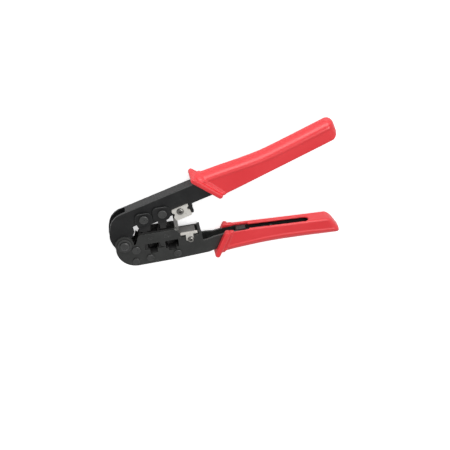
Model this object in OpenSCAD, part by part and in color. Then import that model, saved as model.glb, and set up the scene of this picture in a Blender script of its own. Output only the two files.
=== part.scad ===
// Side-entry crimping tool for 6- and 8-position modular plugs.
// The tool lies on its back. The pivot axis is the Z axis, +X runs along the fixed lever
// towards the grips, +Y points at the moving lever, and Z = 0 is the face it lies on.

/* [Levers] */
// Angle between the levers at rest, with the jaws open
open_angle = 15.3; // [12:0.1:15.6]
// Outside width of the fixed frame at the head
frame_w = 16; // [15.8:0.1:17]
// Outside width of the fixed frame where it enters its grip
frame_neck_w = 12; // [11.6:0.1:12.4]
// Sheet thickness of the fixed frame
frame_t = 2; // [1.6:0.1:2]
// Side play between the frame's cheeks and the moving lever
side_play = 0.2; // [0.15:0.01:0.25]
// Sheet thickness of the moving lever
lever_t = 1.8; // [1.6:0.1:1.9]
// Height of the moving lever's top edge above the pivot
lever_top = 29.3; // [28.8:0.1:29.6]
// Height of the moving lever's lower edge at the neck
lever_low = 12.3; // [11.5:0.1:13]

/* [Pivot] */
// Radius of the round lobe of the frame around the pivot
lobe_r = 8.2; // [7.6:0.1:8.6]
// Radius of the pivot bolt's shaft
pivot_r = 3.5; // [3:0.1:3.8]
// Radial running clearance of every turning fit
run_gap = 0.06; // [0.03:0.01:0.09]

/* [Plug nests] */
// Width of the 6-position nest
nest_6p_w = 9.8; // [9.7:0.05:10]
// Width of the 8-position nest
nest_8p_w = 11.8; // [11.7:0.05:11.9]
// Spacing of the plug contacts
contact_pitch = 1.02; // [1.0:0.01:1.04]
// Thickness of one crimping tooth
tooth_t = 0.5; // [0.3:0.05:0.6]

/* [Grips] */
// Thickness of the grips
grip_w = 16; // [15.6:0.1:18]
// Thickness of the grips' finger guards
guard_w = 22; // [21.6:0.1:23]
// Half the thickness of a finger guard along the lever
guard_r = 2.4; // [2:0.1:2.6]

/* [Hidden] */
eps = 0.01;
big = 400;

// Colours
black_steel = [0.13, 0.13, 0.14];
dark_steel = [0.2, 0.2, 0.21];
bare_steel = [0.72, 0.72, 0.7];
bright_steel = [0.86, 0.86, 0.83];
red_plastic = [0.86, 0.2, 0.21];

// Places across the tool, measured up from the face it lies on
mid_z = guard_w / 2;
frame_out = frame_w / 2;
frame_in = frame_out - frame_t;
neck_out = frame_neck_w / 2;
lever_out = frame_in - side_play;
lever_in = lever_out - lever_t;
punch_half = lever_in - side_play;
holder_in = lever_out + side_play;
holder_t = 2;
near_face = mid_z + frame_out;
head_h = 1.2;

// Fixed frame, seen from the front
web_x = 4;
joggle_x = [73, 79];
frame_end = 172;
frame_low = -22.3;
seat_y = 1.4;
stop_y = 2.2;
mouth_x = 49.2;
corner_c = [10, -4.3];
corner_r = 18;

// Blades
blade_t = 2;
blade_q = [2.9, 14];
blade_p = [50.3, 65.6];
lower_bar_y = [1, 2.8];
lower_bar_x = [50, 65];
lower_stem_x = [54.5, 61];
lower_screw = [58.3, -4.2];
upper_screw = [57.2, 10.6];
screw_r = 1.5;

// Rivets through the frame: x, y, head radius
rivets = [[9.5, -6.3, 3.8], [8, -17.3, 3.2], [21, -15.8, 3.3], [45.3, -15.8, 3.4]];
rivet_r = 1.6;
spacer_r = 2.4;

// Punch pins, on the moving lever, with the lever closed
pin_6p = [25.4, 17.0];
pin_8p = [42.2, 15.2];
pin_r = 2.6;
pin_head_r = 4;

// Nests: middle, top and bottom of each plug body, and the latch recess below it
nest_6p_x = 25;
nest_8p_x = 41.5;
nest_top = -1.8;
nest_6p_low = -8;
nest_8p_low = -9.8;
recess_w = 6.8;
recess_6p_low = -12.3;
recess_8p_low = -12.2;
nest_floor = 7.5;

// Latch
latch_c = [104, -9];
latch_reach = 24;
latch_pin_r = 1.5;
catch_r = 1.6;
catch_angle = 102;
catch_at = latch_c + latch_reach * [cos(catch_angle), sin(catch_angle)];
arm_z = [12.2, 14.7];
slot_z = [11.5, 17];
grip_slot_z = [8.8, 17];

// Return spring
wire_r = 0.7;
coil_r = 5.7;
coil_turns = 3;
coil_z = 8.6;

function turned(p) = [
  p.x * cos(open_angle) - p.y * sin(open_angle),
  p.x * sin(open_angle) + p.y * cos(open_angle)
];
function arc(c, r, a, b, n = 10) = [for (i = [0:n]) let (t = a + (b - a) * i / n) c + r * [cos(t), sin(t)]];
function rounded(x0, y0, x1, y1, r, n = 6) = concat(
  arc([x1 - r, y1 - r], r, 0, 90, n),
  arc([x0 + r, y1 - r], r, 90, 180, n),
  arc([x0 + r, y0 + r], r, 180, 270, n),
  arc([x1 - r, y0 + r], r, 270, 360, n)
);

module slab(z0, z1) {
  translate([0, 0, z0]) linear_extrude(z1 - z0) children();
}

module across(half) {
  slab(mid_z - half, mid_z + half) children();
}

module box(x, y, z) {
  translate([x[0], y[0], z[0]]) cube([x[1] - x[0], y[1] - y[0], z[1] - z[0]]);
}

module rod(at, r, z0, z1) {
  translate([at.x, at.y, z0]) cylinder(r = r, h = z1 - z0, $fn = 64);
}

// Flat bar with round ends, drawn from a to b
module round_bar(a, b, r, half) {
  across(half) translate(a) circle(r, $fn = 48);
  across(half) translate(b) circle(r, $fn = 48);
  n = r * [a.y - b.y, b.x - a.x] / norm(b - a);
  across(half) polygon([a + n, a - n, b - n, b + n]);
}

// Places children, drawn with the jaws closed, where the open lever holds them
module on_lever() {
  rotate([0, 0, open_angle]) children();
}

// Button head that stands on a face, rounded off by a cone
module button_head(at, r, z, h) {
  rod(at, r, z, z + h / 2);
  translate([at.x, at.y, z + h / 2]) cylinder(r1 = r, r2 = r * 0.7, h = h / 2, $fn = 64);
}

// ---- Fixed lever ----

module frame_side() {
  polygon(concat(
    [[6, -5], [8, -1.2], [10, -0.2], [11.2, 3.6]],
    arc([16, 4], 4, 150, 90, 5),
    [[45.3, 8], [47.3, 6.2], [mouth_x, 4], [mouth_x, seat_y], [66, seat_y], [66, stop_y]],
    [[68.4, stop_y], [68.7, -6.2]],
    arc([70.4, -6], 1.7, 190, 270, 4),
    [[80, -7], [89, -5.8], [98, -5.2], [110, -6.2], [165, -9], [frame_end, -9.5]],
    [[frame_end, -19.5], [79, -20], [45, -21.8]],
    arc(corner_c, corner_r, 270, 178, 16),
    [[-5, 0]]
  ));
}

module frame_plan(head, neck) {
  polygon([
    [-40, mid_z - head], [joggle_x[0], mid_z - head], [joggle_x[1], mid_z - neck], [big, mid_z - neck],
    [big, mid_z + neck], [joggle_x[1], mid_z + neck], [joggle_x[0], mid_z + head], [-40, mid_z + head]
  ]);
}

module extrude_plan() {
  translate([0, big / 2, 0]) rotate([90, 0, 0]) linear_extrude(big) children();
}

module frame_solid() {
  intersection() {
    union() {
      across(frame_out) frame_side();
      rod([0, 0], lobe_r, mid_z - frame_out, near_face);
    }
    extrude_plan() frame_plan(frame_out, neck_out);
  }
}

module frame_inside() {
  intersection() {
    across(frame_out) polygon([
      [-40, 40], [-40, -60], [web_x, -60], [web_x, frame_low + frame_t], [20, frame_low + frame_t],
      [45, frame_t - 21.8], [79, frame_t - 20], [big, frame_t - 19.5], [big, 40]
    ]);
    extrude_plan() frame_plan(frame_in, neck_out - frame_t);
  }
}

// Plug windows in the front cheek
module front_windows() {
  difference() {
    polygon(rounded(17, nest_6p_low, 34.6, nest_top, 1));
    polygon([[30.2, 0], [36, 0], [34.6, -6.4], [33.2, -6.9], [32, -5.6]]);
  }
  polygon(rounded(nest_6p_x - 3.5, recess_6p_low, nest_6p_x + 3.5, nest_6p_low + 2, 0.8));
  polygon(rounded(nest_8p_x - 5.95, nest_8p_low, nest_8p_x + 5.95, nest_top, 0.8));
  polygon(rounded(nest_8p_x - 3.6, recess_8p_low, nest_8p_x + 3.6, nest_8p_low + 2, 0.8));
}

// Relief in the rear cheek that lets offcuts fall out beside the 6-position nest
module back_notch() {
  polygon([[11.8, 12], [12, 4.6], [12.9, 3.2], [14.8, 3.4], [15, 12]]);
}

// Rows of dimples that tell the two nests apart
module size_dots(x, y, columns) {
  for (i = [0:columns - 1], j = [0, 1])
    rod([x + i * 1.5, y + j * 1.7], 0.4, near_face - 0.3, near_face + 1);
}

module frame_channel() {
  color(black_steel) difference() {
    frame_solid();
    frame_inside();
    rod([0, 0], pivot_r, -1, guard_w);
    for (r = rivets) rod([r.x, r.y], rivet_r, -1, guard_w);
    slab(mid_z + frame_in - 1, guard_w) front_windows();
    box([mouth_x - eps, 66], [-1, 4], [mid_z + frame_in - 1, guard_w]);
    box([lower_stem_x[0] - 0.3, lower_stem_x[1] + 0.3], [-5.3, 0], [mid_z + frame_in - 1, guard_w]);
    rod(lower_screw, screw_r, mid_z, guard_w);
    rod(latch_c, latch_pin_r, 0, guard_w);
    size_dots(21.6, 2.2, 3);
    size_dots(36, 2.2, 4);
    slab(-1, mid_z - frame_in + eps) back_notch();
  }
}

// Throats that let each punch swing in from above, with the path of its left edge cleared
module throat_6p() {
  polygon([
    [15.3, 9], [15.3, 6], [16.6, 3.4], [18.1, 2.3], [20, 0], [21.2, nest_top - 1], [28.5, nest_top - 1],
    [28.5, 2.1], [30.8, 2.1], [30.8, 9]
  ]);
}

module throat_8p() {
  polygon([
    [31.5, 9], [31.9, 8], [34.2, 4], [36.0, 0], [36.8, nest_top - 1], [45.8, nest_top - 1], [45.8, 9]
  ]);
}

module nest(x, w, low, recess_low) {
  slab(nest_floor, guard_w) translate([x - w / 2, low]) square([w, nest_top - low]);
  slab(nest_floor, guard_w) translate([x - recess_w / 2, recess_low]) square([recess_w, low - recess_low + 1]);
}

module die_block() {
  color(dark_steel) difference() {
    across(frame_in) polygon([
      [13.6, -19.5], [mouth_x, -19.5], [mouth_x, 3.8], [47.2, 6], [45.3, 7.7], [16, 7.7], [13.6, 5.6]
    ]);
    nest(nest_6p_x, nest_6p_w, nest_6p_low, recess_6p_low);
    nest(nest_8p_x, nest_8p_w, nest_8p_low, recess_8p_low);
    across(lever_in) throat_6p();
    across(lever_in) throat_8p();
    box([45.7, 60], [0, 9], [mid_z - 3.6, mid_z + 3.6]);
    for (r = rivets) rod([r.x, r.y], rivet_r, 0, guard_w);
  }
}

// Bare steel wall beside the 8-position punch
module guide_bar() {
  color(bare_steel) box([45.8, mouth_x], [0, 16.8], [mid_z - 3.6, mid_z + 3.6]);
}

module anvil_block() {
  color(dark_steel) difference() {
    box([mouth_x + 0.3, 63.6], [-10, seat_y], [mid_z - frame_in, mid_z + frame_in]);
    rod(lower_screw, screw_r, 9, guard_w);
  }
}

module stop_plate() {
  color(black_steel) box([65.6, 68.3], [-8, stop_y], [mid_z - frame_in, mid_z + frame_in]);
}

// T-shaped cutting blade let into the front cheek
module lower_blade() {
  z = [near_face - frame_t, near_face - frame_t + blade_t];
  color(bright_steel) difference() {
    union() {
      box(lower_bar_x, lower_bar_y, z);
      box(lower_stem_x, [-5, lower_bar_y[0] + eps], z);
    }
    rod(lower_screw, screw_r, 0, guard_w);
  }
}

module cross_screw(at, head_r, z_face, z_end) {
  difference() {
    union() {
      rod(at, screw_r, z_end, z_face + eps);
      button_head(at, head_r, z_face, 1.6);
    }
    for (a = [20, 110])
      translate([at.x, at.y, z_face + 1.3]) rotate([0, 0, a]) cube([head_r * 1.3, 0.7, 1.4], center = true);
  }
}

module lower_blade_screw() {
  color(bare_steel) cross_screw(lower_screw, 2.7, near_face - frame_t + blade_t, 9);
}

module frame_spacers() {
  color(dark_steel) for (r = [rivets[0], rivets[1]])
    difference() {
      rod([r.x, r.y], spacer_r, mid_z - frame_in, mid_z + frame_in);
      rod([r.x, r.y], rivet_r, 0, guard_w);
    }
}

module frame_rivets() {
  color(black_steel) for (r = rivets) {
    rod([r.x, r.y], rivet_r, mid_z - frame_out, near_face);
    button_head([r.x, r.y], r.z, near_face, head_h);
    rod([r.x, r.y], 2.8, mid_z - frame_out - 0.8, mid_z - frame_out);
  }
}

module pivot_bolt() {
  color(black_steel) {
    rod([0, 0], pivot_r, 0, near_face + 0.8);
    button_head([0, 0], 4.4, near_face + 0.8, 1.6);
  }
}

module pivot_washer() {
  color(black_steel) difference() {
    rod([0, 0], 6.6, near_face, near_face + 0.8);
    rod([0, 0], pivot_r, near_face - 1, near_face + 2);
  }
}

module pivot_nut() {
  color(black_steel) difference() {
    cylinder(r = 6.4, h = mid_z - frame_out, $fn = 6);
    rod([0, 0], pivot_r, -1, mid_z);
  }
}

module pivot_sleeve() {
  color(dark_steel) difference() {
    rod([0, 0], 4.6, mid_z - lever_in + 0.1, mid_z + lever_in - 0.1);
    rod([0, 0], pivot_r, 0, guard_w);
  }
}

// One ring of the spring's wire, square to the coil at turn t
function ring(t, sides) = [for (k = [0:sides - 1]) let (s = 360 * k / sides, r = coil_r + wire_r * cos(s)) [
  r * cos(360 * t), r * sin(360 * t), coil_z + t * 2.1 * wire_r + wire_r * sin(s)
]];

module return_spring() {
  sides = 8;
  per_turn = 24;
  rings = coil_turns * per_turn;
  points = [for (i = [0:rings]) each ring(i / per_turn, sides)];
  walls = [for (i = [0:rings - 1], k = [0:sides - 1]) let (a = i * sides, b = a + sides, n = (k + 1) % sides)
    [a + k, a + n, b + n, b + k]];
  ends = [[for (k = [sides - 1:-1:0]) k], [for (k = [0:sides - 1]) rings * sides + k]];
  color(bare_steel) {
    polyhedron(points, concat(walls, ends), convexity = 10);
    translate([coil_r, 0, coil_z]) rotate([90, 0, 0]) cylinder(r = wire_r, h = 9, $fn = 24);
    translate([coil_r, 0, coil_z + coil_turns * 2.1 * wire_r]) rotate([-90, 0, 4])
      cylinder(r = wire_r, h = 19, $fn = 24);
  }
}

module lower_grip_side() {
  polygon(concat(
    [[84, -20], [91, -2.6], [110, -3.6], [130, -4.8], [165, -6.5]],
    arc([181.6, -12], 4.8, 90, 30, 5),
    arc([187.6, -20.6], 4.1, 20, -90, 8),
    [[160, -23.6], [129.5, -22.9], [105, -23.9], [84, -25.6]]
  ));
}

module lower_grip() {
  color(red_plastic) difference() {
    union() {
      across(grip_w / 2) lower_grip_side();
      round_bar([80.4, -24.4], [91, -4.6], guard_r, guard_w / 2);
    }
    frame_solid();
    across(neck_out - frame_t) polygon([[70, -18], [170, -18], [170, -8.5], [110, -5.5], [88, 2]]);
    box([74, 165], [-12, 5], grip_slot_z);
    box([97, 111], [-16, 5], [6.5, grip_slot_z[1] + 0.5]);
    rod(latch_c, latch_pin_r, mid_z - neck_out - 1.4, mid_z + neck_out + 1.4);
  }
}

module latch_pin() {
  color(bare_steel) rod(latch_c, latch_pin_r, mid_z - neck_out - 1.2, mid_z + neck_out + 0.4);
}

// Hook that swings out of the lower grip and holds the closed levers by the catch pin
module latch() {
  color(dark_steel) translate([latch_c.x, latch_c.y, 0]) difference() {
    union() {
      slab(mid_z - lever_in + 0.6, arm_z[1]) polygon(rounded(-4.8, -2.5, 4.8, 4, 1.5));
      slab(arm_z[0], arm_z[1]) polygon(concat(
        [[0, 2], [0, -2.4]],
        arc([latch_reach + 2.4, 0.2], 2.6, -90, 60, 6),
        [[latch_reach + catch_r + 0.5, 2.4]],
        arc([latch_reach, 0], catch_r + 0.5, 0, -180, 10),
        [[latch_reach - catch_r - 0.5, 2]]
      ));
    }
    rod([0, 0], latch_pin_r + run_gap, 0, guard_w);
  }
}

// ---- Moving lever, drawn closed ----

module lever_neck_side() {
  polygon([
    [60, lever_low], [100, lever_low], [188, 18.4], [188, 30.2], [141, 27.2], [104, lever_top], [60, lever_top]
  ]);
}

module lever_side() {
  lever_neck_side();
  polygon([
    [-8.4, 0], [-9.3, 4], [-9.4, 9], [-8.8, 12], [-6.2, 18], [-3.5, 22.5], [-0.5, 25.8], [4, 28.2], [9, lever_top],
    [70, lever_top], [68.9, lever_low], [68.3, 4.8], [67.6, 3.4], [66.3, 3.4], [65.4, 4.2], [50.6, 4.2],
    [50.6, 8.6], [17.8, 8.6], [17.4, 13.2], [13.6, 13.2], [13, 7.8], [7.9, 2.7], [0, 0]
  ]);
}

module lever_channel() {
  color(black_steel) on_lever() difference() {
    union() {
      across(lever_out) lever_side();
      rod([0, 0], 8.4, mid_z - lever_out, mid_z + lever_out);
    }
    across(lever_in) polygon([
      [-40, -40], [-40, 60], [13.6, 60], [13.6, lever_top - lever_t], [104, lever_top - lever_t],
      [141, 27.2 - lever_t], [big, 30.2 - lever_t + (big - 188) * 3 / 47], [big, -40]
    ]);
    rod([0, 0], pivot_r + run_gap, 0, guard_w);
    rod(pin_6p, pin_r + run_gap, 0, guard_w);
    rod(pin_8p, pin_r + run_gap, 0, guard_w);
    rod(upper_screw, screw_r, 9, guard_w);
    rod(catch_at, catch_r, 0, guard_w);
  }
}

// Nut block between the lever's cheeks, behind the blade
module blade_block() {
  color(dark_steel) on_lever() difference() {
    box([52, 62], [5.2, 13.4], [mid_z - lever_in, mid_z + lever_in]);
    rod(upper_screw, screw_r, 9, guard_w);
  }
}

module upper_blade() {
  z = [mid_z + lever_out, mid_z + lever_out + blade_t];
  color(bright_steel) on_lever() difference() {
    slab(z[0], z[1]) polygon([
      [blade_p[0], blade_q[1] - 0.6], [blade_p[0] + 0.6, blade_q[1]], [blade_p[1], blade_q[1]],
      [blade_p[1], blade_q[0]], [blade_p[0] + 1, blade_q[0]], [blade_p[0], blade_q[0] + 3]
    ]);
    rod([blade_p[0] - 0.4, 9.4], 1.9, 0, guard_w);
    rod([blade_p[1] + 0.3, 10.2], 2.1, 0, guard_w);
    rod(upper_screw, screw_r, 0, guard_w);
    // Bevel along the cutting edge
    translate([0, blade_q[0], z[1]]) rotate([30, 0, 0]) box([40, 80], [-4, 0], [-1.2, 4]);
  }
}

module upper_blade_screw() {
  color(bare_steel) on_lever() cross_screw(upper_screw, 3.1, mid_z + lever_out + blade_t, 9);
}

module catch_pin() {
  color(bare_steel) on_lever() rod(catch_at, catch_r, mid_z - lever_out, mid_z + lever_out);
}

module upper_grip_side() {
  polygon(concat(
    [[80, 33.6], [84, 33.6], [104, 32.2], [122, 30.7], [141, 30.1], [165, 31.6]],
    arc([202, 26], 9.3, 82, -80, 12),
    [[180, 14.8], [140, 11.6], [106, 8.9], [94, 8.2]]
  ));
}

module upper_grip() {
  color(red_plastic) on_lever() difference() {
    union() {
      across(grip_w / 2) upper_grip_side();
      round_bar([79, 34], [94.7, 10.2], guard_r, guard_w / 2);
    }
    across(lever_out) lever_neck_side();
    box([97, 133], [0, 16], [slot_z[0], arm_z[1] + 0.6]);
  }
}

// ---- Punches ----

// Places children, drawn around the punch's own pin, at rest
module at_pin(pin) {
  translate([turned(pin).x, turned(pin).y, 0]) children();
}

module punch(x0, x1, top, low) {
  difference() {
    across(punch_half) polygon(rounded(x0, low, x1, top, 0.8, 3));
    rod([0, 0], pin_r, 0, guard_w);
  }
}

module holder_plates(x0, y0, x1, y1) {
  for (z = [mid_z - holder_in - holder_t, mid_z + holder_in])
    difference() {
      slab(z, z + holder_t) polygon(rounded(x0, y0, x1, y1, 4.2));
      rod([0, 0], pin_r, 0, guard_w);
    }
}

module punch_pin() {
  rod([0, 0], pin_r, mid_z - holder_in - holder_t - 0.8, mid_z + holder_in + holder_t + eps);
  button_head([0, 0], pin_head_r, mid_z + holder_in + holder_t, 1.4);
  rod([0, 0], 3.4, mid_z - holder_in - holder_t - 0.8, mid_z - holder_in - holder_t);
}

// Teeth that drive the plug's contacts, on a common back
module tooth_comb(x, top, low, count) {
  w = (count - 1) * contact_pitch + tooth_t;
  z = [mid_z - punch_half + 0.4, mid_z + 0.6];
  box([x - w / 2, x + w / 2], [low + 2.2, top], z);
  for (i = [0:count - 1])
    box([x - w / 2 + i * contact_pitch, x - w / 2 + i * contact_pitch + tooth_t], [low, low + 2.3], z);
}

module anchor_bar(x, top, low, w) {
  box([x - w / 2, x + w / 2], [low, top], [mid_z + 1.6, mid_z + punch_half]);
}

tip_6p = -19.4;
shoulder_6p = -14.5;
tip_8p = -17.6;
shoulder_8p = -12.3;
comb_6p_x = nest_6p_x - pin_6p.x;
comb_8p_x = nest_8p_x - pin_8p.x;

module punch_6p() {
  color(dark_steel) at_pin(pin_6p) punch(-4.8, 4.8, 5, shoulder_6p);
}

module holder_plates_6p() {
  color(black_steel) at_pin(pin_6p) holder_plates(-7.6, -6, 7.4, 5.7);
}

module punch_pin_6p() {
  color(black_steel) at_pin(pin_6p) punch_pin();
}

module tooth_comb_6p() {
  color(dark_steel) at_pin(pin_6p) tooth_comb(comb_6p_x, shoulder_6p, tip_6p, 6);
}

module anchor_bar_6p() {
  color(dark_steel) at_pin(pin_6p) anchor_bar(comb_6p_x, shoulder_6p, tip_6p + 0.6, 4);
}

module punch_8p() {
  color(dark_steel) at_pin(pin_8p) punch(comb_8p_x - 3.9, comb_8p_x + 3.9, 5.5, shoulder_8p);
}

module holder_plates_8p() {
  color(black_steel) at_pin(pin_8p) holder_plates(-8.5, -6.8, 6.7, 6.5);
}

module punch_pin_8p() {
  color(black_steel) at_pin(pin_8p) punch_pin();
}

module tooth_comb_8p() {
  color(dark_steel) at_pin(pin_8p) tooth_comb(comb_8p_x, shoulder_8p, tip_8p, 8);
}

module anchor_bar_8p() {
  color(dark_steel) at_pin(pin_8p) anchor_bar(comb_8p_x, shoulder_8p, tip_8p + 0.6, 5);
}

frame_channel();
die_block();
guide_bar();
anvil_block();
stop_plate();
lower_blade();
lower_blade_screw();
frame_spacers();
frame_rivets();
pivot_bolt();
pivot_washer();
pivot_nut();
pivot_sleeve();
return_spring();
lower_grip();
latch_pin();
latch();
lever_channel();
blade_block();
upper_blade();
upper_blade_screw();
catch_pin();
upper_grip();
punch_6p();
holder_plates_6p();
punch_pin_6p();
tooth_comb_6p();
anchor_bar_6p();
punch_8p();
holder_plates_8p();
punch_pin_8p();
tooth_comb_8p();
anchor_bar_8p();
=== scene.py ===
import math

import bmesh
import bpy
from mathutils import Matrix, Vector


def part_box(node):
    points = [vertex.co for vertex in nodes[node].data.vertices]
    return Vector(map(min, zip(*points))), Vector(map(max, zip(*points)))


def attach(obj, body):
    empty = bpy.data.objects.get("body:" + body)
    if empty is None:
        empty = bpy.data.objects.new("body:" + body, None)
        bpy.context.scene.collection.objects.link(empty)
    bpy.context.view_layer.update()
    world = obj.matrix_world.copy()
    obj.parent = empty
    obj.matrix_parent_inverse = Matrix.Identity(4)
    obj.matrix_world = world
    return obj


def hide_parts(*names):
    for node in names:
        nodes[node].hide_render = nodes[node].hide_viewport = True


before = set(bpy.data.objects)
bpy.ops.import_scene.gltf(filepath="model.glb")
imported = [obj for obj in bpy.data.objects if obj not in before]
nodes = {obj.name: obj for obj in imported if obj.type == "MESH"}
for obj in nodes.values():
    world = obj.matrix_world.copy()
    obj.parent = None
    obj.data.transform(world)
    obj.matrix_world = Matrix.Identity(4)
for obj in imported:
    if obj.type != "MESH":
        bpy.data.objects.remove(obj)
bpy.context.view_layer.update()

mm = 0.001
leverTurn = math.radians(15.3)  # the moving lever is drawn closed and opened by this much


def say(text):
    print("crimping tool:", text)


# Shader helpers

def newGroup(name, inputs, outputs):
    group = bpy.data.node_groups.new(name, "ShaderNodeTree")
    for label, kind, value in inputs:
        socket = group.interface.new_socket(name=label, in_out="INPUT", socket_type=kind)
        if value is not None:
            socket.default_value = value
    for label, kind in outputs:
        group.interface.new_socket(name=label, in_out="OUTPUT", socket_type=kind)
    start = group.nodes.new("NodeGroupInput")
    end = group.nodes.new("NodeGroupOutput")
    return group, start, end


def addNode(tree, kind, values=None, **settings):
    node = tree.nodes.new(kind)
    for key, value in settings.items():
        setattr(node, key, value)
    for key, value in (values or {}).items():
        node.inputs[key].default_value = value
    return node


def mathNode(tree, operation, first, second=None, clamp=False):
    node = addNode(tree, "ShaderNodeMath", operation=operation, use_clamp=clamp)
    for index, value in enumerate((first, second)):
        if value is None:
            continue
        if isinstance(value, (int, float)):
            node.inputs[index].default_value = value
        else:
            tree.links.new(value, node.inputs[index])
    return node.outputs[0]


def makeEdgeWear():
    # White along convex edges, broken up by noise
    group, start, end = newGroup(
        "edgeWear",
        [("Radius", "NodeSocketFloat", 0.4 * mm), ("Breakup Scale", "NodeSocketFloat", 900.0),
         ("Amount", "NodeSocketFloat", 1.0)],
        [("Mask", "NodeSocketFloat")],
    )
    link = group.links.new
    bevel = addNode(group, "ShaderNodeBevel", samples=4)
    link(start.outputs["Radius"], bevel.inputs["Radius"])
    geometry = addNode(group, "ShaderNodeNewGeometry")
    dot = addNode(group, "ShaderNodeVectorMath", operation="DOT_PRODUCT")
    link(bevel.outputs["Normal"], dot.inputs[0])
    link(geometry.outputs["Normal"], dot.inputs[1])
    edge = addNode(group, "ShaderNodeMapRange",
                   {"From Min": 0.995, "From Max": 0.86, "To Min": 0.0, "To Max": 1.0})
    link(dot.outputs["Value"], edge.inputs["Value"])
    place = addNode(group, "ShaderNodeTexCoord")
    noise = addNode(group, "ShaderNodeTexNoise", {"Detail": 4.0, "Roughness": 0.65})
    link(place.outputs["Object"], noise.inputs["Vector"])
    link(start.outputs["Breakup Scale"], noise.inputs["Scale"])
    patches = addNode(group, "ShaderNodeMapRange",
                      {"From Min": 0.4, "From Max": 0.62, "To Min": 0.15, "To Max": 1.0})
    link(noise.outputs["Fac"], patches.inputs["Value"])
    worn = mathNode(group, "MULTIPLY", edge.outputs["Result"], patches.outputs["Result"])
    link(mathNode(group, "MULTIPLY", worn, start.outputs["Amount"], clamp=True), end.inputs["Mask"])
    return group


def makeFineGrain():
    # Two sizes of noise: a tone that drifts over the piece and a fine texture for bumps
    group, start, end = newGroup(
        "fineGrain",
        [("Tone Scale", "NodeSocketFloat", 60.0), ("Grain Scale", "NodeSocketFloat", 2600.0)],
        [("Tone", "NodeSocketFloat"), ("Grain", "NodeSocketFloat")],
    )
    link = group.links.new
    place = addNode(group, "ShaderNodeTexCoord")
    for label, detail in (("Tone", 3.0), ("Grain", 6.0)):
        noise = addNode(group, "ShaderNodeTexNoise", {"Detail": detail, "Roughness": 0.55})
        link(place.outputs["Object"], noise.inputs["Vector"])
        link(start.outputs[label + " Scale"], noise.inputs["Scale"])
        link(noise.outputs["Fac"], end.inputs[label])
    return group


def makeBrushed():
    # Long fine scratches along X from grinding and rolling
    group, start, end = newGroup(
        "brushed",
        [("Scale", "NodeSocketFloat", 900.0), ("Stretch", "NodeSocketFloat", 0.04)],
        [("Lines", "NodeSocketFloat")],
    )
    link = group.links.new
    place = addNode(group, "ShaderNodeTexCoord")
    stretch = addNode(group, "ShaderNodeCombineXYZ", {"Y": 1.0, "Z": 1.0})
    link(start.outputs["Stretch"], stretch.inputs["X"])
    scaled = addNode(group, "ShaderNodeVectorMath", operation="MULTIPLY")
    link(place.outputs["Object"], scaled.inputs[0])
    link(stretch.outputs["Vector"], scaled.inputs[1])
    noise = addNode(group, "ShaderNodeTexNoise", {"Detail": 5.0, "Roughness": 0.7})
    link(scaled.outputs["Vector"], noise.inputs["Vector"])
    link(start.outputs["Scale"], noise.inputs["Scale"])
    link(noise.outputs["Fac"], end.inputs["Lines"])
    return group


def makeDust():
    # Pale lint that settles on faces that look up
    group, start, end = newGroup(
        "dust",
        [("Scale", "NodeSocketFloat", 500.0), ("Amount", "NodeSocketFloat", 0.1)],
        [("Mask", "NodeSocketFloat")],
    )
    link = group.links.new
    place = addNode(group, "ShaderNodeTexCoord")
    noise = addNode(group, "ShaderNodeTexNoise", {"Detail": 8.0, "Roughness": 0.75})
    link(place.outputs["Object"], noise.inputs["Vector"])
    link(start.outputs["Scale"], noise.inputs["Scale"])
    specks = addNode(group, "ShaderNodeMapRange",
                     {"From Min": 0.5, "From Max": 0.75, "To Min": 0.0, "To Max": 1.0})
    link(noise.outputs["Fac"], specks.inputs["Value"])
    geometry = addNode(group, "ShaderNodeNewGeometry")
    axes = addNode(group, "ShaderNodeSeparateXYZ")
    link(geometry.outputs["Normal"], axes.inputs[0])
    upward = mathNode(group, "MAXIMUM", axes.outputs["Z"], 0.0)
    settled = mathNode(group, "MULTIPLY", specks.outputs["Result"], upward)
    link(mathNode(group, "MULTIPLY", settled, start.outputs["Amount"], clamp=True), end.inputs["Mask"])
    return group


groups = {
    "edgeWear": makeEdgeWear(),
    "fineGrain": makeFineGrain(),
    "brushed": makeBrushed(),
    "dust": makeDust(),
}


def placeGroup(tree, name, values):
    node = tree.nodes.new("ShaderNodeGroup")
    node.node_tree = groups[name]
    for key, value in values.items():
        node.inputs[key].default_value = value
    return node


def mixColour(tree, factor, first, second):
    node = addNode(tree, "ShaderNodeMix", data_type="RGBA")
    tree.links.new(factor, node.inputs[0])
    for socket, value in ((node.inputs[6], first), (node.inputs[7], second)):
        if hasattr(value, "links"):
            tree.links.new(value, socket)
        else:
            socket.default_value = (*value, 1.0)
    return node.outputs[2]


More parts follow.
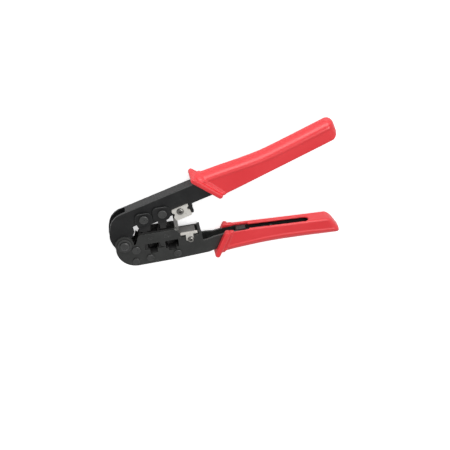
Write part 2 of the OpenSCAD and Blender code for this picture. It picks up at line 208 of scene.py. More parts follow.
def makeFinish(name, s):
    material = bpy.data.materials.new(name)
    material.use_nodes = True
    tree = material.node_tree
    link = tree.links.new
    shader = tree.nodes["Principled BSDF"]
    shader.inputs["Metallic"].default_value = s["metallic"]
    shader.inputs["Specular IOR Level"].default_value = s.get("specular", 0.5)
    shader.inputs["Coat Weight"].default_value = s.get("coat", 0.0)
    shader.inputs["Coat Roughness"].default_value = s.get("coatRoughness", 0.3)
    grain = placeGroup(tree, "fineGrain", {"Tone Scale": s["toneScale"], "Grain Scale": s["grainScale"]})
    wear = placeGroup(tree, "edgeWear", {"Radius": s["wearRadius"], "Amount": s["wear"]})
    dust = placeGroup(tree, "dust", {"Amount": s["dust"]})
    colour = mixColour(tree, grain.outputs["Tone"], s["colour"], s["colourTwo"])
    colour = mixColour(tree, wear.outputs["Mask"], colour, s["wornColour"])
    colour = mixColour(tree, dust.outputs["Mask"], colour, s["dustColour"])
    link(colour, shader.inputs["Base Color"])
    bumpSource = grain.outputs["Grain"]
    if "brush" in s:
        lines = placeGroup(tree, "brushed", {"Scale": s["brush"], "Stretch": s["brushStretch"]})
        bumpSource = mathNode(tree, "ADD", bumpSource, lines.outputs["Lines"])
    rough = addNode(tree, "ShaderNodeMapRange", {"From Min": 0.3, "From Max": 0.7})
    rough.inputs["To Min"].default_value = s["roughness"][0]
    rough.inputs["To Max"].default_value = s["roughness"][1]
    link(grain.outputs["Tone"], rough.inputs["Value"])
    polished = mathNode(tree, "MULTIPLY", wear.outputs["Mask"], s.get("polish", 0.1))
    link(mathNode(tree, "SUBTRACT", rough.outputs["Result"], polished), shader.inputs["Roughness"])
    bump = addNode(tree, "ShaderNodeBump", {"Strength": s["bump"], "Distance": s["bumpDepth"]})
    link(bumpSource, bump.inputs["Height"])
    link(bump.outputs["Normal"], shader.inputs["Normal"])
    return material


finishes = {
    "frameBlack": {
        "colour": (0.017, 0.018, 0.017), "colourTwo": (0.031, 0.032, 0.031), "metallic": 0.0, "specular": 0.6,
        "coat": 0.3, "coatRoughness": 0.24,
        "roughness": (0.32, 0.44), "toneScale": 60.0, "grainScale": 3200.0, "bump": 0.28,
        "bumpDepth": 0.02 * mm,
        "wear": 0.8, "wearRadius": 0.4 * mm, "wornColour": (0.2, 0.2, 0.195), "polish": 0.12,
        "dust": 0.08, "dustColour": (0.2, 0.19, 0.18),
    },
    "rivetBlack": {
        "colour": (0.038, 0.039, 0.038), "colourTwo": (0.066, 0.067, 0.066), "metallic": 0.2, "specular": 0.7,
        "coat": 0.3, "coatRoughness": 0.2,
        "roughness": (0.26, 0.38), "toneScale": 240.0, "grainScale": 3600.0, "bump": 0.3,
        "bumpDepth": 0.02 * mm,
        "wear": 0.9, "wearRadius": 0.4 * mm, "wornColour": (0.3, 0.295, 0.29), "polish": 0.14,
        "dust": 0.06, "dustColour": (0.22, 0.21, 0.2),
    },
    # Near-black finish: painted shade for the steep walls of heads and screw recesses
    "paintedWallShade": {
        "colour": (0.004, 0.0042, 0.004), "colourTwo": (0.008, 0.0082, 0.008), "metallic": 0.0,
        "specular": 0.25,
        "roughness": (0.5, 0.65), "toneScale": 240.0, "grainScale": 3600.0, "bump": 0.25,
        "bumpDepth": 0.02 * mm,
        "wear": 0.15, "wearRadius": 0.2 * mm, "wornColour": (0.12, 0.118, 0.115), "polish": 0.1,
        "dust": 0.04, "dustColour": (0.12, 0.115, 0.11),
    },
    # Darker than the bare steel: partly the screws' own tone, partly painted shade for the dark ring round
    # the recess
    "screwSteel": {
        "colour": (0.2, 0.195, 0.185), "colourTwo": (0.34, 0.33, 0.31), "metallic": 0.9,
        "roughness": (0.24, 0.4), "toneScale": 400.0, "grainScale": 3000.0, "bump": 0.25,
        "bumpDepth": 0.02 * mm,
        "wear": 0.9, "wearRadius": 0.3 * mm, "wornColour": (0.75, 0.73, 0.69), "polish": 0.12,
        "dust": 0.03, "dustColour": (0.3, 0.28, 0.26),
    },
    "blackSteel": {
        "colour": (0.006, 0.0064, 0.0068), "colourTwo": (0.013, 0.0135, 0.014), "metallic": 0.0,
        "specular": 0.45,
        "coat": 0.22, "coatRoughness": 0.22,
        "roughness": (0.3, 0.42), "toneScale": 70.0, "grainScale": 3200.0, "bump": 0.25,
        "bumpDepth": 0.02 * mm,
        "wear": 0.5, "wearRadius": 0.35 * mm, "wornColour": (0.16, 0.155, 0.15), "polish": 0.1,
        "dust": 0.05, "dustColour": (0.2, 0.19, 0.18),
    },
    "darkSteel": {
        "colour": (0.03, 0.03, 0.031), "colourTwo": (0.05, 0.049, 0.048), "metallic": 0.25, "specular": 0.4,
        "roughness": (0.38, 0.55), "toneScale": 120.0, "grainScale": 2600.0, "bump": 0.3,
        "bumpDepth": 0.02 * mm,
        "wear": 0.5, "wearRadius": 0.3 * mm, "wornColour": (0.22, 0.215, 0.21), "polish": 0.12,
        "dust": 0.06, "dustColour": (0.2, 0.19, 0.18),
    },
    "bareSteel": {
        "colour": (0.5, 0.49, 0.47), "colourTwo": (0.62, 0.61, 0.59), "metallic": 1.0,
        "roughness": (0.26, 0.4), "toneScale": 150.0, "grainScale": 2400.0, "bump": 0.2,
        "bumpDepth": 0.02 * mm,
        "wear": 0.4, "wearRadius": 0.25 * mm, "wornColour": (0.75, 0.74, 0.72), "polish": 0.1,
        "dust": 0.04, "dustColour": (0.4, 0.38, 0.36), "brush": 1600.0, "brushStretch": 0.08,
    },
    "bladeSteel": {
        "colour": (0.70, 0.68, 0.63), "colourTwo": (0.86, 0.84, 0.79), "metallic": 0.35, "specular": 0.6,
        "roughness": (0.26, 0.38), "toneScale": 180.0, "grainScale": 2000.0, "bump": 0.15,
        "bumpDepth": 0.015 * mm,
        "wear": 0.3, "wearRadius": 0.2 * mm, "wornColour": (0.9, 0.88, 0.85), "polish": 0.1,
        "dust": 0.03, "dustColour": (0.4, 0.38, 0.36), "brush": 2200.0, "brushStretch": 0.05,
    },
    "groundSteel": {
        "colour": (0.17, 0.17, 0.165), "colourTwo": (0.25, 0.247, 0.24), "metallic": 0.5,
        "roughness": (0.3, 0.42), "toneScale": 130.0, "grainScale": 2600.0, "bump": 0.25,
        "bumpDepth": 0.02 * mm,
        "wear": 0.7, "wearRadius": 0.35 * mm, "wornColour": (0.45, 0.44, 0.42), "polish": 0.1,
        "dust": 0.04, "dustColour": (0.3, 0.29, 0.28), "brush": 1500.0, "brushStretch": 0.06,
    },
    "redGrip": {
        "colour": (0.70, 0.022, 0.03), "colourTwo": (0.80, 0.032, 0.04), "metallic": 0.0, "specular": 0.8,
        "roughness": (0.34, 0.44), "toneScale": 26.0, "grainScale": 2200.0, "bump": 0.35,
        "bumpDepth": 0.03 * mm,
        "wear": 0.25, "wearRadius": 0.6 * mm, "wornColour": (0.86, 0.12, 0.12), "polish": 0.05,
        "dust": 0.02, "dustColour": (0.85, 0.4, 0.38),
    },
}
materials = {name: makeFinish(name, settings) for name, settings in finishes.items()}
slotFinish = {
    "black_steel": "blackSteel", "dark_steel": "darkSteel", "bare_steel": "bareSteel",
    "blade_steel": "bladeSteel", "red_grip": "redGrip",
}
say("finishes made")


# Piece helpers

def toObject(bm, name):
    mesh = bpy.data.meshes.new(name)
    bm.to_mesh(mesh)
    bm.free()
    piece = bpy.data.objects.new(name, mesh)
    bpy.context.scene.collection.objects.link(piece)
    return piece


def shade(piece, sharp=38):
    mesh = piece.data
    for polygon in mesh.polygons:
        polygon.use_smooth = True
    mesh.set_sharp_from_angle(angle=math.radians(sharp))


def dress(piece, slot, finish=None):
    piece.data.materials.clear()
    piece.data.materials.append(materials[finish or slotFinish[slot]])


def settle(piece, body, slot, *replaced, finish=None):
    dress(piece, slot, finish)
    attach(piece, body)
    if replaced:
        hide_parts(*replaced)


def roundEdges(piece, width, segments=2, angle=40):
    bevel = piece.modifiers.new("roundedEdges", "BEVEL")
    bevel.width = width
    bevel.segments = segments
    bevel.limit_method = "ANGLE"
    bevel.angle_limit = math.radians(angle)
    bevel.use_clamp_overlap = True
    bevel.miter_outer = "MITER_ARC"
    normals = piece.modifiers.new("evenNormals", "WEIGHTED_NORMAL")
    normals.keep_sharp = True
    normals.weight = 60


def nodeCopy(name):
    bm = bmesh.new()
    bm.from_mesh(nodes[name].data)
    bmesh.ops.remove_doubles(bm, verts=bm.verts, dist=0.002 * mm)
    bmesh.ops.dissolve_limit(bm, angle_limit=math.radians(0.6), verts=bm.verts, edges=bm.edges)
    bmesh.ops.recalc_face_normals(bm, faces=bm.faces)
    return bm


def bendEdges(bm, isBend, radius, segments=5):
    edges = [e for e in bm.edges if len(e.link_faces) == 2 and e.calc_face_angle(0) > 1.0 and isBend(e)]
    bmesh.ops.bevel(bm, geom=edges, offset=radius, offset_type="OFFSET", segments=segments, profile=0.5,
                    affect="EDGES", material=-1, clamp_overlap=True)


def softCopy(node, body, slot, width, isBend=None, bendRadius=1.8, finish=None):
    bm = nodeCopy(node)
    if isBend:
        bendEdges(bm, isBend, bendRadius * mm)
    piece = toObject(bm, node + "_finished")
    shade(piece)
    roundEdges(piece, width * mm)
    settle(piece, body, slot, node, finish=finish)


def spunSolid(profile, at, steps=48):
    # Profile points are (radius, height) from one end of the axis to the other
    bm = bmesh.new()
    verts = [bm.verts.new((at[0] + r, at[1], z)) for r, z in profile]
    edges = [bm.edges.new(pair) for pair in zip(verts, verts[1:])]
    bmesh.ops.spin(bm, geom=verts + edges, cent=(at[0], at[1], 0), axis=(0, 0, 1), angle=math.tau,
                   steps=steps, use_merge=True)
    bmesh.ops.remove_doubles(bm, verts=bm.verts, dist=0.0005)
    bmesh.ops.recalc_face_normals(bm, faces=bm.faces)
    return bm


def prism(points, low, high):
    bm = bmesh.new()
    face = bm.faces.new([bm.verts.new((x, y, low)) for x, y in points])
    grown = bmesh.ops.extrude_face_region(bm, geom=[face])["geom"]
    tops = [v for v in grown if isinstance(v, bmesh.types.BMVert)]
    bmesh.ops.translate(bm, vec=(0, 0, high - low), verts=tops)
    bmesh.ops.recalc_face_normals(bm, faces=bm.faces)
    return bm


def block(x, y, z):
    bm = bmesh.new()
    bmesh.ops.create_cube(bm, size=1)
    bmesh.ops.scale(bm, vec=(x[1] - x[0], y[1] - y[0], z[1] - z[0]), verts=bm.verts)
    bmesh.ops.translate(bm, vec=((x[0] + x[1]) / 2, (y[0] + y[1]) / 2, (z[0] + z[1]) / 2), verts=bm.verts)
    return bm


def combine(piece, other, operation):
    modifier = piece.modifiers.new("combine", "BOOLEAN")
    modifier.operation = operation
    modifier.solver = "EXACT"
    modifier.object = other
    applyModifiers(piece)
    bpy.data.objects.remove(other)


def applyModifiers(piece):
    bpy.context.view_layer.update()
    graph = bpy.context.evaluated_depsgraph_get()
    mesh = bpy.data.meshes.new_from_object(piece.evaluated_get(graph))
    piece.modifiers.clear()
    old = piece.data
    piece.data = mesh
    bpy.data.meshes.remove(old)


def onLever(bm):
    bmesh.ops.rotate(bm, cent=(0, 0, 0), matrix=Matrix.Rotation(leverTurn, 3, "Z"), verts=bm.verts)


def toMetres(bm):
    bmesh.ops.scale(bm, vec=(mm, mm, mm), verts=bm.verts)


def turned(p):
    c, s = math.cos(leverTurn), math.sin(leverTurn)
    return p[0] * c - p[1] * s, p[0] * s + p[1] * c


def stretchPath(points, x):
    # Smooth curve through the points, read at x
    last = len(points) - 1
    i = 0
    while i < last - 1 and x > points[i + 1][0]:
        i += 1
    (x1, y1), (x2, y2) = points[i], points[i + 1]
    x0, y0 = points[i - 1] if i > 0 else (2 * x1 - x2, 2 * y1 - y2)
    x3, y3 = points[i + 2] if i + 2 <= last else (2 * x2 - x1, 2 * y2 - y1)
    width = x2 - x1
    m1 = (y2 - y0) / (x2 - x0) * width
    m2 = (y3 - y1) / (x3 - x1) * width
    t = (x - x1) / width
    return ((2 * t ** 3 - 3 * t ** 2 + 1) * y1 + (t ** 3 - 2 * t ** 2 + t) * m1
            + (3 * t ** 2 - 2 * t ** 3) * y2 + (t ** 3 - t ** 2) * m2)


# Grips

upperGrip = {
    "outer": [(76, 34.4), (84, 34.0), (104, 32.9), (122, 31.6), (141, 31.0), (165, 32.6), (203, 35.9),
              (212, 36.4)],
    "inner": [(84, 7.4), (94, 8.2), (106, 8.9), (140, 11.6), (180, 14.8), (204, 16.8), (212, 17.5)],
    "frontOuter": 80.2, "frontInner": 95.6, "endOuter": 208.8, "endInner": 208.4,
    "guard": ((79, 34), (94.7, 10.2)), "tipRound": 6.0,
}
lowerGrip = {
    "outer": [(78, -26), (84, -25.6), (105, -23.9), (129.5, -22.9), (160, -23.5), (187, -24.7), (195, -25)],
    "inner": [(84, -2.0), (91, -2.7), (110, -3.6), (130, -4.7), (165, -6.5), (184, -7.4), (192, -7.8)],
    "frontOuter": 81.2, "frontInner": 92.4, "endOuter": 195.0, "endInner": 184.8,
    "guard": ((80.4, -24.4), (91, -4.6)), "tipRound": 4.4,
}
gripShape = {
    "middle": 11.0, "half": 8.0, "guardHalf": 11.0, "guardRadius": 2.4, "crown": 7.4, "recess": 0.35,
    "innerRound": 1.6, "stepDown": 0.9, "stepUp": 0.3, "sideRows": 5, "band": 5.2, "bandProud": 1.1,
    "bandFall": 0.6,
    "stations": 110, "tipStations": 14, "tipShare": 0.12, "tipReach": 0.9,
    "guardRim": 1.3, "guardRimSteps": 5, "voxel": 0.42, "smooth": 4,
}


def gripSection(height, half, squeeze):
    # Half section from the inner face round the near side to the outer crown, as (up, across)
    s = gripShape
    flat = half - s["recess"]
    crown = min(s["crown"], height * 0.45)
    rim = s["innerRound"]
    points = [(0, 0), (0, flat * 0.5), (0, flat - rim)]
    points += [(rim - rim * math.cos(a), flat - rim + rim * math.sin(a)) for a in
               [math.radians(d) for d in (22, 45, 68, 90)]]
    rise = height - crown - rim
    points += [(rim + rise * k / s["sideRows"], flat) for k in range(1, s["sideRows"])]
    shoulder = height - crown + s["stepUp"]
    points += [(height - crown - s["stepDown"], flat), (shoulder, half)]
    points += [(shoulder + (crown - s["stepUp"]) * math.sin(a), half * math.cos(a)) for a in
               [math.radians(d) for d in range(9, 91, 9)]]
    middle = height / 2
    return [(middle + (up - middle) * squeeze[0], across * squeeze[1]) for up, across in points]


def tipSqueeze(u, tipRound, height):
    # Scale of the section at u, from 0 where the tip starts to round off to 1 at its end
    lift = 1 - math.sqrt(max(0.0, 1 - u * u))
    return 1 - 2 * lift * tipRound / height, 1 - lift * min(1, tipRound / gripShape["half"])


def gripSpine(g):
    # Inner point, outer point and distance from the front, for each station along the grip
    spine = []
    for i in range(gripShape["stations"]):
        t = i / (gripShape["stations"] - 1)
        outerX = g["frontOuter"] + (g["endOuter"] - g["frontOuter"]) * t
        innerX = g["frontInner"] + (g["endInner"] - g["frontInner"]) * t
        inner = Vector((innerX, stretchPath(g["inner"], innerX)))
        outer = Vector((outerX, stretchPath(g["outer"], outerX)))
        spine.append((inner, outer, min(outerX - g["frontOuter"], innerX - g["frontInner"])))
    return spine


def gripStations(g):
    # The spine with each station's squeeze, then closer rings where the tip rounds off quickly
    s = gripShape
    *spine, (endInner, endOuter, _) = gripSpine(g)
    height = (endOuter - endInner).length
    stations = []
    for inner, outer, travel in spine:
        left = min((endInner - inner).length, (endOuter - outer).length)
        u = max(0.0, 1 - left / g["tipRound"])
        stations.append((inner, outer, travel, tipSqueeze(u, g["tipRound"], height)))
    inner, outer, travel = spine[-1]
    for k in range(1, s["tipStations"] + 1):
        left = (1 - k / s["tipStations"]) ** 2
        squeeze = tipSqueeze(1 - left * s["tipShare"], g["tipRound"], height)
        reach = left * s["tipReach"]
        tipInner = endInner + (inner - endInner) * reach
        tipOuter = endOuter + (outer - endOuter) * reach
        stations.append((tipInner, tipOuter, travel, squeeze))
    return stations


def gripBody(g):
    s = gripShape
    rings = []
    for inner, outer, travel, squeeze in gripStations(g):
        proud = s["bandProud"] * max(0.0, min(1.0, (s["band"] - travel) / s["bandFall"]))
        axis = outer - inner
        height = axis.length
        axis.normalize()
        near = gripSection(height + proud, s["half"] + proud, squeeze)
        ring = near + [(up, -across) for up, across in reversed(near[1:-1])]
        rings.append([(*(inner + axis * up), s["middle"] + across) for up, across in ring])
    around = len(rings[0])
    bm = bmesh.new()
    bmesh.ops.create_grid(bm, x_segments=len(rings) - 1, y_segments=around, size=1)
    columns = sorted(bm.verts, key=lambda v: (round(v.co.x, 6), round(v.co.y, 6)))
    for index, vert in enumerate(columns):
        station, k = divmod(index, around + 1)
        vert.co = rings[station][k % around]
    bmesh.ops.remove_doubles(bm, verts=bm.verts, dist=0.0005)
    bmesh.ops.holes_fill(bm, edges=[e for e in bm.edges if e.is_boundary])
    bmesh.ops.recalc_face_normals(bm, faces=bm.faces)
    return bm


def guardBar(g):
    s = gripShape
    a, b = Vector(g["guard"][0]), Vector(g["guard"][1])
    along = (b - a).normalized()
    side = Vector((-along.y, along.x))
    outline = []
    for centre, start in ((b, -90), (a, 90)):
        for k in range(13):
            t = math.radians(start + 15 * k)
            outline.append(centre + (along * math.cos(t) + side * math.sin(t)) * s["guardRadius"])
    bm = prism([tuple(p) for p in outline], s["middle"] - s["guardHalf"], s["middle"] + s["guardHalf"])
    rims = [e for e in bm.edges if abs(e.verts[0].co.z - e.verts[1].co.z) < 0.01]
    bmesh.ops.bevel(bm, geom=rims, offset=s["guardRim"], offset_type="OFFSET",
                    segments=s["guardRimSteps"], profile=0.5,
                    affect="EDGES", material=-1, clamp_overlap=True)
    return bm


def mouldGrip(name, g, cutters):
    piece = toObject(gripBody(g), name)
    combine(piece, toObject(guardBar(g), "guard"), "UNION")
    for cutter in cutters:
        combine(piece, toObject(cutter, "cutter"), "DIFFERENCE")
    remesh = piece.modifiers.new("moulded", "REMESH")
    remesh.mode = "VOXEL"
    remesh.voxel_size = gripShape["voxel"]
    remesh.use_smooth_shade = True
    soften = piece.modifiers.new("softened", "SMOOTH")
    soften.factor = 0.5
    soften.iterations = gripShape["smooth"]
    applyModifiers(piece)
    return piece


def finishGrip(piece, body, node, lever):
    bm = bmesh.new()
    bm.from_mesh(piece.data)
    if lever:
        onLever(bm)
    toMetres(bm)
    low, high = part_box(node)
    for vert in bm.verts:  # the mould never grows past the CAD solid
        vert.co = [min(max(c, low[i]), high[i]) for i, c in enumerate(vert.co)]
    bm.to_mesh(piece.data)
    bm.free()
    for polygon in piece.data.polygons:
        polygon.use_smooth = True
    settle(piece, body, "red_grip", node)


neckCavity = [(60, 12.3), (100, 12.3), (188, 18.4), (188, 30.2), (141, 27.2), (104, 29.3), (60, 29.3)]
frameCavity = [(70, -7.6), (80, -7), (89, -5.8), (98, -5.2), (110, -6.2), (165, -9), (172, -9.5),
               (172, -19.5), (79, -20), (70, -20)]
channelCavity = [(70, -18), (170, -18), (170, -8.5), (110, -5.5), (88, 2), (70, 2)]
catchEntry = {"x": (97, 133), "y": (0, 16), "z": (11.5, 15.3)}
latchSlot = {"x": (74, 165), "y": (-12, 5), "z": (8.8, 17)}
latchPocket = {"x": (97, 111), "y": (-16, 5), "z": (6.5, 17.5)}
sideNotch = {"x": (97, 111), "y": (-4.6, 5), "z": (16, 20)}


def roundEndSlot(x, y, z):
    # A slot whose far end is a half circle seen from above
    bm = block(x, y, z)
    ends = [e for e in bm.edges if all(abs(v.co.x - x[1]) < 0.01 for v in e.verts)
            and abs(e.verts[0].co.y - e.verts[1].co.y) > 0.1]
    bmesh.ops.bevel(bm, geom=ends, offset=(z[1] - z[0]) / 2 - 0.05, offset_type="OFFSET", segments=8,
                    profile=0.5, affect="EDGES", material=-1, clamp_overlap=True)
    return bm


upper = mouldGrip("upper_grip_moulded", upperGrip, [
    prism(neckCavity, 5.2, 16.8),
    roundEndSlot(**catchEntry),
])
finishGrip(upper, "lever", "upper_grip", True)
say("upper grip")
lower = mouldGrip("lower_grip_moulded", lowerGrip, [
    prism(frameCavity, 5, 17),
    prism(channelCavity, 7, 15),
    roundEndSlot(**latchSlot),
    block(**latchPocket),
    block(**sideNotch),
])
finishGrip(lower, "frame", "lower_grip", False)
say("lower grip")


# Pressed steel levers

frameBend = {"webTop": -9, "edgeTop": -12, "front": 3.9, "cheeks": (5.05, 16.95)}
leverBend = {"webBottom": 26, "front": 13, "cheeks": (5.25, 16.75)}


def isOuterEdge(e, isWeb, cheeks):
    # Whether the edge joins the web to the flat outside of a cheek
    flat = any(abs(f.normal.z) > 0.9 for f in e.link_faces)
    web = any(isWeb(f) for f in e.link_faces)
    z = (e.verts[0].co.z + e.verts[1].co.z) / 2
    return flat and web and (z < cheeks[0] * mm or z > cheeks[1] * mm)


def isFrameBend(e):
    b = frameBend
    middle = (e.verts[0].co + e.verts[1].co) / 2
    near = middle.x > b["front"] * mm and middle.y < b["edgeTop"] * mm
    return near and isOuterEdge(
        e, lambda f: f.normal.y < -0.3 and f.calc_center_median().y < b["webTop"] * mm, b["cheeks"])


def isLeverBend(e):
    b = leverBend
    up = Vector((-math.sin(leverTurn), math.cos(leverTurn), 0))
    along = Vector((math.cos(leverTurn), math.sin(leverTurn), 0))
    middle = (e.verts[0].co + e.verts[1].co) / 2
    near = middle.dot(up) > b["webBottom"] * mm and middle.dot(along) > b["front"] * mm
    return near and isOuterEdge(e, lambda f: f.normal.dot(up) > 0.9, b["cheeks"])


softCopy("frame_channel", "frame", "black_steel", 0.22, isFrameBend, 2.0, finish="frameBlack")
softCopy("lever_channel", "lever", "black_steel", 0.22, isLeverBend, 1.7)
say("levers")

copies = [
    ("die_block", "frame", "dark_steel", 0.12), ("guide_bar", "frame", "bare_steel", 0.15),
    ("anvil_block", "frame", "dark_steel", 0.2, "groundSteel"), ("stop_plate", "frame", "black_steel", 0.2),
    ("lower_blade", "frame", "blade_steel", 0.1), ("blade_block", "lever", "dark_steel", 0.15),
    ("upper_blade", "lever", "blade_steel", 0.1), ("latch", "latch", "dark_steel", 0.25, "blackSteel"),
    ("punch_6p", "punch_unit_6p", "dark_steel", 0.25), ("punch_8p", "punch_unit_8p", "dark_steel", 0.25),
    ("holder_plates_6p", "punch_unit_6p", "black_steel", 0.3),
    ("holder_plates_8p", "punch_unit_8p", "black_steel", 0.3),
]
for node, body, slot, width, *finish in copies:
    softCopy(node, body, slot, width, finish=finish[0] if finish else None)
say("plates and blocks")


# Fasteners

frameFace = 19.0
bladeFace = 18.8
# Edge of a flat head, as shares of its radius and of its height, from the wall to the slightly hollow middle
headEdge = [(1, 0), (1, 0.62), (0.965, 0.84), (0.9, 0.96), (0.82, 1), (0.4, 0.97), (0, 0.95)]


def headProfile(radius, rise, shaft, foot, backRadius):
    # A shaft with a flat head on top and a disc at its foot, whose edge is broken by a small chamfer
    chamfer = 0.2
    points = [(0, foot[0]), (backRadius - chamfer, foot[0]), (backRadius, foot[0] + chamfer),
              (backRadius, foot[1])]
    points += [(shaft, foot[1]), (shaft, frameFace)]
    return points + [(radius * out, frameFace + rise * up) for out, up in headEdge]


def paintWallShade(piece, limit):
    # Walls steeper than the limit get a near-black finish: painted shade on the walls of the heads and of the
    # screw recesses
    piece.data.materials.append(materials["paintedWallShade"])
    for polygon in piece.data.polygons:
        polygon.material_index = int(abs(polygon.normal.z) < limit)


def spunPiece(name, profile, at, body, slot, *replaced):
    bm = spunSolid(profile, at)
    toMetres(bm)
    piece = toObject(bm, name)
    shade(piece, 32)
    roundEdges(piece, 0.1 * mm, 2, 50)
    settle(piece, body, slot, *replaced, finish="rivetBlack")
    # The steep walls of the head take painted shade
    paintWallShade(piece, 0.8)


backDisc = (2.2, 3.0)
rivets = {"places": [(9.5, -6.3, 3.8), (8, -17.3, 3.2), (21, -15.8, 3.3), (45.3, -15.8, 3.4)],
          "rise": 1.2, "shaft": 1.6, "backRadius": 2.8}
for number, (x, y, radius) in enumerate(rivets["places"], 1):
    profile = headProfile(radius, rivets["rise"], rivets["shaft"], backDisc, rivets["backRadius"])
    spunPiece("rivet_%d" % number, profile, (x, y), "frame", "black_steel", "frame_rivets")

pins = {"places": {"6p": (25.4, 17.0), "8p": (42.2, 15.2)},
        "radius": 4.0, "rise": 1.4, "shaft": 2.6, "backRadius": 3.4}
for label, at in pins["places"].items():
    profile = headProfile(pins["radius"], pins["rise"], pins["shaft"], backDisc, pins["backRadius"])
    spunPiece("punch_pin_head_" + label, profile, turned(at), "punch_unit_" + label, "black_steel",
              "punch_pin_" + label)

boltProfile = [(0, 0), (3.2, 0), (3.5, 0.3), (3.5, 19.8), (4.4, 19.8), (4.4, 20.5), (4.1, 21.0), (3.2, 21.3),
               (2.4, 21.38), (2.2, 21.2), (1.2, 21.25), (0, 21.25)]
spunPiece("pivot_bolt_turned", boltProfile, (0, 0), "frame", "black_steel", "pivot_bolt")
washerProfile = [(3.5, 19.0), (6.6, 19.0), (6.6, 19.45), (6.3, 19.8), (3.9, 19.8), (3.5, 19.6), (3.5, 19.0)]
spunPiece("pivot_washer_turned", washerProfile, (0, 0), "frame", "black_steel", "pivot_washer")


screw = {"shaft": 1.5, "point": (1.2, 9.0, 9.4), "wall": 0.7, "dome": 0.9, "crossTurn": 20,
         "crossReach": 0.68, "crossHalf": 0.42, "crossFloor": 0.5, "crossTop": 2.4,
         "crossTaper": (0.45, 0.6, 1)}


def crossScrew(name, at, radius, face, body, node):
    tip, low, high = screw["point"]
    wall = face + screw["wall"]
    profile = [(0, low), (tip, low), (screw["shaft"], high), (screw["shaft"], face), (radius, face),
               (radius, wall)]
    profile += [(radius * math.cos(a), wall + screw["dome"] * math.sin(a)) for a in
                [math.radians(d) for d in (20, 40, 60, 75)]]
    bm = spunSolid(profile + [(0, wall + screw["dome"])], at)
    piece = toObject(bm, "screwBlank")
    reach = radius * screw["crossReach"]
    for turn in (screw["crossTurn"], screw["crossTurn"] + 90):
        cut = block((-reach, reach), (-screw["crossHalf"], screw["crossHalf"]),
                    (face + screw["crossFloor"], face + screw["crossTop"]))
        lowest = [v for v in cut.verts if v.co.z < face + 1]
        bmesh.ops.scale(cut, vec=screw["crossTaper"], verts=lowest)
        bmesh.ops.rotate(cut, cent=(0, 0, 0), matrix=Matrix.Rotation(math.radians(turn), 3, "Z"),
                         verts=cut.verts)
        bmesh.ops.translate(cut, vec=(at[0], at[1], 0), verts=cut.verts)
        combine(piece, toObject(cut, "cutter"), "DIFFERENCE")
    piece.name = name
    piece.data.transform(Matrix.Scale(mm, 4))
    shade(piece, 32)
    settle(piece, body, "bare_steel", node, finish="screwSteel")
    # The steep walls of the head and of its cross recess take painted shade
    paintWallShade(piece, 0.72)


crossScrew("lower_screw_turned", (58.3, -4.2), 2.7, frameFace, "frame", "lower_blade_screw")
crossScrew("upper_screw_turned", turned((57.2, 10.6)), 3.1, bladeFace, "lever", "upper_blade_screw")
say("fasteners")


# Return spring

spring = {"radius": 5.7, "wire": 0.7, "base": 8.6, "turns": 3, "pitch": 1.47, "steps": 32,
          "lowLeg": 9.0, "highLeg": 19.0, "highLegTurn": 4.0}


def makeSpring(s):
    count = s["turns"] * s["steps"]
    coil = [Vector((s["radius"] * math.cos(math.tau * i / s["steps"]),
                    s["radius"] * math.sin(math.tau * i / s["steps"]),
                    s["base"] + s["pitch"] * i / s["steps"])) for i in range(count + 1)]
    start = coil[0] + Vector((0, -s["lowLeg"], 0))
    bend = math.radians(90 + s["highLegTurn"])
    finish = coil[-1] + Vector((math.cos(bend), math.sin(bend), 0)) * s["highLeg"]
    points = [start] + coil + [finish]
    curve = bpy.data.curves.new("springPath", "CURVE")
    curve.dimensions = "3D"
    curve.bevel_depth = s["wire"]
    curve.bevel_resolution = 4
    curve.use_fill_caps = True
    path = curve.splines.new("POLY")
    path.points.add(len(points) - 1)
    for place, point in zip(path.points, points):
        place.co = (*point, 1)
    holder = bpy.data.objects.new("springPath", curve)
    bpy.context.scene.collection.objects.link(holder)
    bpy.context.view_layer.update()
    mesh = bpy.data.meshes.new_from_object(holder.evaluated_get(bpy.context.evaluated_depsgraph_get()))
    bpy.data.objects.remove(holder)
    mesh.transform(Matrix.Scale(mm, 4))
    piece = bpy.data.objects.new("return_spring_wound", mesh)
    bpy.context.scene.collection.objects.link(piece)
    for polygon in mesh.polygons:
        polygon.use_smooth = True
    settle(piece, "frame", "bare_steel", "return_spring")


makeSpring(spring)
say("spring")

# CAD nodes that keep their own shape
kept = {
    "frame_spacers": "dark_steel", "pivot_nut": "black_steel", "pivot_sleeve": "dark_steel",
    "latch_pin": "bare_steel", "catch_pin": "bare_steel", "tooth_comb_6p": "dark_steel",
    "tooth_comb_8p": "dark_steel", "anchor_bar_6p": "dark_steel", "anchor_bar_8p": "dark_steel",
}
for node, slot in kept.items():
    dress(nodes[node], slot)


# Floor, lights and camera

def makeFloor():
    bm = bmesh.new()
    bmesh.ops.create_grid(bm, x_segments=1, y_segments=1, size=3.0)
    floor = toObject(bm, "floor")
    material = bpy.data.materials.new("palePaper")
    material.use_nodes = True
    shader = material.node_tree.nodes["Principled BSDF"]
    shader.inputs["Base Color"].default_value = (0.9, 0.9, 0.9, 1)
    shader.inputs["Roughness"].default_value = 0.9
    shader.inputs["Specular IOR Level"].default_value = 0.1
    shader.inputs["Emission Color"].default_value = (1, 1, 1, 1)
    seen = addNode(material.node_tree, "ShaderNodeLightPath")
    glow = mathNode(material.node_tree, "MULTIPLY", seen.outputs["Is Camera Ray"], 0.6)
    material.node_tree.links.new(glow, shader.inputs["Emission Strength"])
    floor.data.materials.append(material)


def makeLight(name, at, target, size, power):
    light = bpy.data.lights.new(name, "AREA")
    light.shape = "RECTANGLE"
    light.size, light.size_y = size
    light.energy = power
    lamp = bpy.data.objects.new(name, light)
    lamp.location = at
    lamp.rotation_mode = "QUATERNION"
    lamp.rotation_quaternion = (Vector(target) - Vector(at)).to_track_quat("-Z", "Y")
    bpy.context.scene.collection.objects.link(lamp)


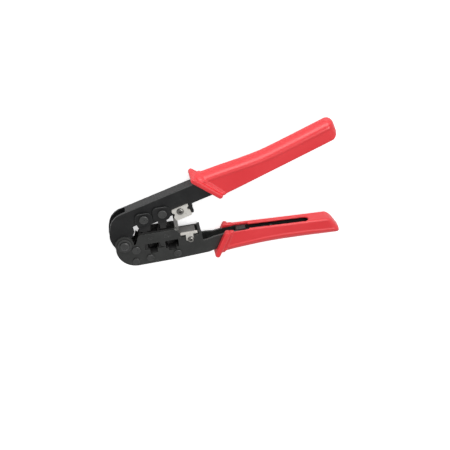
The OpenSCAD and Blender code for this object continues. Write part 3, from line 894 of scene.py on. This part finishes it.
makeFloor()
studio = {
    "horizon": 0.75, "zenith": 0.22,
    "key": {"at": (0.0, 0.95, 0.62), "size": (1.4, 0.6), "power": 9.5},
    "fill": {"at": (0.5, 0.1, 1.1), "size": (0.5, 0.5), "power": 4.0},
}


def makeWorld(s):
    # White walls all round and a dim ceiling
    world = bpy.data.worlds.new("studio")
    world.use_nodes = True
    tree = world.node_tree
    place = addNode(tree, "ShaderNodeTexCoord")
    axes = addNode(tree, "ShaderNodeSeparateXYZ")
    tree.links.new(place.outputs["Generated"], axes.inputs[0])
    fade = addNode(tree, "ShaderNodeMapRange", {"From Min": 0.25, "From Max": 0.85, "To Min": s["horizon"],
                                                "To Max": s["zenith"]}, interpolation_type="SMOOTHSTEP")
    tree.links.new(axes.outputs["Z"], fade.inputs["Value"])
    background = tree.nodes["Background"]
    background.inputs["Color"].default_value = (1, 1, 1, 1)
    tree.links.new(fade.outputs["Result"], background.inputs["Strength"])
    bpy.context.scene.world = world


makeWorld(studio)
for name in ("key", "fill"):
    s = studio[name]
    makeLight(name, s["at"], (0.09, 0, 0.01), s["size"], s["power"])

view = {
    "right": (0.983, -0.1015, 0.15), "up": (0.1645, 0.8505, -0.5), "forward": (0.077, -0.516, -0.853),
    "at": (4.5, 576.2, 964.4), "lens": 100.8, "sensor": 36.0,
}


def makeCamera(v):
    camera = bpy.data.cameras.new("camera")
    camera.lens = v["lens"]
    camera.sensor_width = v["sensor"]
    camera.clip_start, camera.clip_end = 0.05, 20
    camera.dof.use_dof = False
    holder = bpy.data.objects.new("camera", camera)
    back = -Vector(v["forward"]).normalized()
    right = Vector(v["right"]).normalized()
    up = back.cross(right).normalized()
    right = up.cross(back)
    holder.rotation_mode = "QUATERNION"
    holder.rotation_quaternion = Matrix((right, up, back)).transposed().to_quaternion()
    holder.location = Vector(v["at"]) * mm
    bpy.context.scene.collection.objects.link(holder)
    bpy.context.scene.camera = holder


makeCamera(view)
bpy.context.scene.view_settings.view_transform = "Standard"
say("stage")
